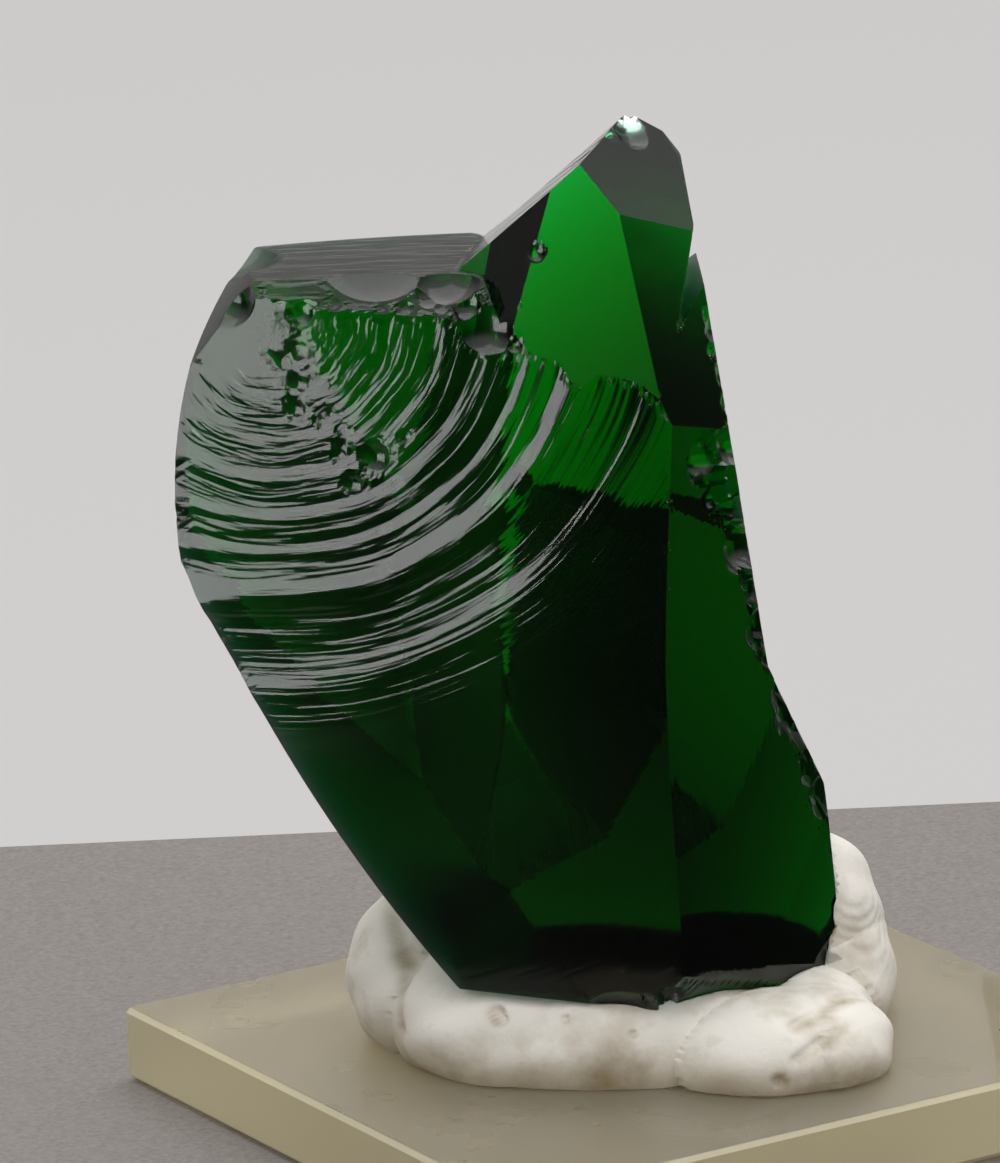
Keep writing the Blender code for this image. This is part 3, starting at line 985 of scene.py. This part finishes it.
    def press_socket(self, piece: bpy.types.Object, glass: bpy.types.Object) -> None:
        """Cuts the glass's form, grown by the socket gap along its normals, out of the putty.

        Args:
            piece: The putty.
            glass: The glass.
        """
        cutter = glass.copy()
        cutter.data = glass.data.copy()
        count = len(cutter.data.vertices)
        co, normal = np.zeros(count * 3), np.zeros(count * 3)
        cutter.data.vertices.foreach_get("co", co)
        cutter.data.vertices.foreach_get("normal", normal)
        cutter.data.vertices.foreach_set("co", co + normal * self.socket_gap * MM)
        bpy.context.scene.collection.objects.link(cutter)
        cut = piece.modifiers.new("socket", "BOOLEAN")
        cut.operation, cut.solver, cut.object = "DIFFERENCE", "EXACT", cutter
        graph = bpy.context.evaluated_depsgraph_get()
        mesh = bpy.data.meshes.new_from_object(piece.evaluated_get(graph))
        piece.modifiers.clear()
        piece.data = mesh
        bpy.data.objects.remove(cutter, do_unlink=True)


@dataclass(frozen=True)
class AgedAcrylic:
    """Cast acrylic sheet, sawn and polished, yellowed with age and dull with dust."""

    name: str = "yellowed_cast_acrylic"
    absorbs: Colour = (0.93, 0.86, 0.55, 1.0)
    density: float = 36.0
    top: str = "F6EFDC"
    sawn: str = "FFF8D8"
    side_from: float = 24.7

    def material(self) -> bpy.types.Material:
        """Builds the acrylic: clear with a yellow depth, and paler and duller on its sides.

        Returns:
            The material.
        """
        material, tree, shader, out = new_material(self.name, {"IOR": 1.49})
        add = partial(add_node, tree)
        depth = add("VolumeAbsorption", {"Color": self.absorbs, "Density": self.density})
        feed(tree, out, {"Volume": depth})
        coords = add("TexCoord")
        # Sawn sides: 0 on the polished faces and 1 further out than side_from
        axes = add("SeparateXYZ", {}, {0: coords.outputs["Object"]})
        away = [add("Math", {"operation": "ABSOLUTE"}, {0: axes.outputs[i]}) for i in (0, 1)]
        most = add("Math", {"operation": "MAXIMUM"}, {0: away[0], 1: away[1]})
        side = add("Math", {"operation": "GREATER_THAN", 1: self.side_from * MM}, {0: most})
        clear = add("MapRange", {"To Min": 0.84, "To Max": 0.5}, {"Value": side})
        feed(tree, shader, {"Transmission Weight": clear})
        pale = add("Mix", {"data_type": "RGBA", 6: linear(self.top), 7: linear(self.sawn)},
                   {0: side})
        feed(tree, shader, {"Base Color": pale.outputs[2]})
        # Dust in patches of about 6 mm, which blurs what mirrors in the top
        dust = add("TexNoise", {"Scale": 160.0, "Detail": 2.0, "Roughness": 0.5},
                   {"Vector": coords.outputs["Object"]})
        dull = add("MapRange", {"From Min": 0.35, "From Max": 0.7, "To Min": 0.26, "To Max": 0.36},
                   {"Value": dust})
        rough = add("Math", {"operation": "MULTIPLY_ADD", 1: 0.1}, {0: side, 2: dull})
        feed(tree, shader, {"Roughness": rough})
        return material


@dataclass
class AcrylicPlate:
    """The square plate: the frame's own solid with its finish."""

    finish: AgedAcrylic = AgedAcrylic()

    def dress(self, node: bpy.types.Object) -> bpy.types.Object:
        """Gives the plate's solid its finish.

        Args:
            node: The plate from the frame.

        Returns:
            The same object.
        """
        material = self.finish.material()
        if node.data.materials:
            for index in range(len(node.data.materials)):
                node.data.materials[index] = material
        else:
            node.data.materials.append(material)
        return node


@dataclass(frozen=True)
class SkyPatch:
    """A soft round patch of the surroundings: where it is, how wide, and how bright."""

    bearing: float
    elevation: float
    inner: float
    outer: float
    glow: float


@dataclass(frozen=True)
class SoftBox:
    """A soft light panel: its middle, what it faces, its sides in mm and its brightness."""

    name: str
    at: Triple
    faces: Triple
    wide: float
    high: float
    glow: float
    on_matt: bool = True
    in_glass: bool = True
    tint: str = "FFFFFF"


@dataclass(frozen=True)
class HiddenSheet:
    """A flat sheet that the camera doesn't see and that casts no shadow: a black one paints a dark
    reflection where the room has only shade, a white one paints a glow seen through the glass. Its
    corners and height in mm, which of the two it is, and the kind of ray that it is hidden from as
    well."""

    name: str
    low: Pair
    high: Pair
    level: float
    cloth: str
    hidden_from: str


@dataclass
class Studio:
    """Pale floor, grey table sheet, soft lights and camera, none of which is the object."""

    eye: Triple = (-7.8, -580.41, 193.31)
    pitch: float = 15.2
    roll: float = 2.6
    lens: float = 9258.0 / 1163.0 * 36.0
    sheet_back: float = 64.4

    sky: tuple[SkyPatch, ...] = (
        SkyPatch(180, 10, 40, 95, 0.35),
        SkyPatch(0, 90, 35, 75, 1.0),
    )
    boxes: tuple[SoftBox, ...] = (
        SoftBox("overhead_box", (0.0, 60.0, 420.0), (0.0, 0.0, 20.0), 520.0, 420.0, 1.36),
        SoftBox("left_card", (-87.0, -80.0, 50.5), (-20.0, -9.0, 46.0), 90.0, 74.0, 4.4, False),
        SoftBox("front_fill", (150.0, -250.0, 140.0), (0.0, 0.0, 12.0), 240.0, 160.0, 1.0, True,
                False),
    )
    # Black sheets paint dark reflections where the room has only shade; white sheets paint a glow
    # seen only through the glass
    sheets: tuple[HiddenSheet, ...] = (
        HiddenSheet("dark_front", (-4000.0, -4000.0), (4000.0, -45.0), 0.3, "black",
                    "transmission"),
        HiddenSheet("dark_right", (39.0, -45.0), (4000.0, 60.0), 0.3, "black", "transmission"),
        HiddenSheet("dark_near_right", (23.0, -32.0), (39.0, 8.0), 5.6, "black", "transmission"),
        HiddenSheet("dark_behind", (27.0, 28.0), (500.0, 500.0), 0.3, "black", "glossy"),
        HiddenSheet("dark_behind_left", (-42.0, 38.0), (-7.0, 73.0), 0.3, "black", "glossy"),
        HiddenSheet("bright_behind", (-18.0, 73.0), (24.0, 130.0), 0.3, "white", "glossy"),
        HiddenSheet("bright_near", (-6.5, 56.0), (24.0, 72.5), 0.3, "white", "glossy"),
    )
    floor_level: float = -0.6
    table_level: float = -0.15
    sky_base: float = 0.02

    def camera(self) -> None:
        """Sets the camera where the photograph's was, worked out from the square plate."""
        p, r = np.radians([self.pitch, self.roll])
        ahead = np.array([0.0, np.cos(p), -np.sin(p)])
        up0 = np.array([0.0, np.sin(p), np.cos(p)])
        right = np.array([1.0, 0.0, 0.0]) * np.cos(r) - up0 * np.sin(r)
        up = np.array([1.0, 0.0, 0.0]) * np.sin(r) + up0 * np.cos(r)
        axes = [to_plate(a) / MM for a in (right, up, -ahead)]
        place = to_plate(np.array(self.eye))
        lens = bpy.data.cameras.new("camera")
        lens.lens, lens.sensor_width = self.lens, 36.0
        lens.clip_start, lens.clip_end = 0.01, 20.0
        eye = bpy.data.objects.new("camera", lens)
        bpy.context.scene.collection.objects.link(eye)
        eye.matrix_world = placed(*axes, place)
        bpy.context.scene.camera = eye

    @staticmethod
    def sheet(name: str, low: Pair, high: Pair, level: float,
              material: bpy.types.Material) -> bpy.types.Object:
        """Lays a flat sheet with its sides along the viewer's directions.

        Args:
            name: Name of the object.
            low: Left and near corner in mm.
            high: Right and far corner in mm.
            level: Height in mm.
            material: Its finish.

        Returns:
            The sheet.
        """
        corners = np.array([(low[0], low[1], level), (high[0], low[1], level),
                            (high[0], high[1], level), (low[0], high[1], level)])
        sheet = make_piece(name, to_plate(corners), np.array([(0, 1, 2), (0, 2, 3)]))
        sheet.data.materials.append(material)
        return sheet

    def floor(self) -> None:
        """Lays the floor, the grey table sheet that ends behind the object, and the hidden sheets
        that paint dark reflections and a glow seen through the glass.
        """
        # Pale paper: fills the upper view with the photograph's even wall
        pale, _, _, _ = new_material("pale_paper", {
            "Base Color": linear("6A6969"), "Roughness": 0.95,
            "Emission Color": linear("D0CECC"), "Emission Strength": 0.69})
        self.sheet("pale_floor", (-4000.0, -4000.0), (4000.0, 4000.0), self.floor_level, pale)
        # Painted reflection and painted light: black sheets where the dark side of a real room has
        # only shade, which the glass mirrors, and glowing white sheets that show only through the
        # glass; the camera, matt surfaces and shadows don't see them
        black, _, _, _ = new_material("painted_dark_reflection", {
            "Base Color": linear("0A0A0A"), "Roughness": 1.0})
        white, _, _, _ = new_material("painted_glow_sheet", {
            "Emission Color": linear("F2F0EC"), "Emission Strength": 0.5})
        stand_in_finishes = {"black": black, "white": white}
        for row in self.sheets:
            cloth = self.sheet(row.name, row.low, row.high, row.level, stand_in_finishes[row.cloth])
            for kind in ("camera", "shadow", "diffuse", row.hidden_from):
                setattr(cloth, "visible_" + kind, False)
        # Grey card with a fleck of about 0.4 mm, the table of the photograph
        grey, tree, shader, _ = new_material("grey_card", {"Roughness": 0.9})
        add = partial(add_node, tree)
        coords = add("TexCoord")
        grain = add("TexNoise", {"Scale": 2400.0, "Detail": 2.0, "Roughness": 0.7},
                    {"Vector": coords.outputs["Object"]})
        tint = add("Mix", {"data_type": "RGBA", 6: linear("686462"), 7: linear("9A9490")},
                   {0: grain})
        feed(tree, shader, {"Base Color": tint.outputs[2]})
        self.sheet("grey_sheet", (-700.0, -650.0), (700.0, self.sheet_back), self.table_level,
                   grey)

    def lights(self) -> None:
        """Hangs the soft boxes: radiance glow, so power = glow x pi x area."""
        for box in self.boxes:
            light = bpy.data.lights.new(box.name, "AREA")
            light.shape = "RECTANGLE"
            light.size, light.size_y = box.wide * MM, box.high * MM
            light.energy = box.glow * np.pi * light.size * light.size_y
            light.color = linear(box.tint)[:3]
            lamp = bpy.data.objects.new(box.name, light)
            bpy.context.scene.collection.objects.link(lamp)
            at, aim = to_plate(np.array(box.at)), to_plate(np.array(box.faces))
            back = (at - aim) / np.linalg.norm(at - aim)
            side = np.cross([0.0, 1.0, 0.0] if abs(back[2]) > 0.9 else [0.0, 0.0, 1.0], back)
            side = side / np.linalg.norm(side)
            up = np.cross(back, side)
            lamp.matrix_world = placed(side, up, back, at)
            lamp.visible_camera = False
            lamp.visible_diffuse = box.on_matt
            lamp.visible_glossy = lamp.visible_transmission = box.in_glass

    def surroundings(self) -> None:
        """Fills the world with soft patches: each adds glow inside its inner angle from its
        middle, none past its outer angle, and a smooth step between."""
        world = bpy.data.worlds.new("soft_room")
        bpy.context.scene.world = world
        world.use_nodes = True
        tree = world.node_tree
        backing = tree.nodes["Background"]
        add = partial(add_node, tree)
        coords = add("TexCoord")
        total = None
        for patch in self.sky:
            middle = to_plate(toward(patch.bearing, patch.elevation)) / MM
            dot = add("VectorMath", {"operation": "DOT_PRODUCT", 1: tuple(middle)},
                      {0: coords.outputs["Generated"]})
            outer, inner = np.cos(np.radians([patch.outer, patch.inner]))
            soft = add("MapRange",
                       {"interpolation_type": "SMOOTHSTEP", "From Min": float(outer),
                        "From Max": float(inner), "To Max": patch.glow},
                       {"Value": dot.outputs["Value"]})
            feeds = {0: soft} if total is None else {0: soft, 1: total}
            total = add("Math", {"operation": "ADD", 1: self.sky_base}, feeds)
        feed(tree, backing, {"Strength": total})
        backing.inputs["Color"].default_value = linear("FAF8F6")

    def build(self) -> None:
        """Sets up everything round the object."""
        scene = bpy.context.scene
        scene.view_settings.view_transform = "Standard"
        self.camera()
        self.floor()
        self.lights()
        self.surroundings()


def main() -> None:
    """Dresses the frame piece by piece and logs the glass's and the putty's face counts."""
    logging.basicConfig(level=logging.INFO, format="%(name)s: %(message)s")
    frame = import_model()
    Studio().build()
    glass = BrokenGlass().build()
    LOG.info("glass: %d triangles", len(glass.data.polygons))
    putty = MountingPutty().build(glass)
    LOG.info("putty: %d faces", len(putty.data.polygons))
    plate = AcrylicPlate().dress(frame["nodes"]["acrylic_base"])
    LOG.info("plate dressed: %s", plate.name)


if __name__ == "__main__":
    main()
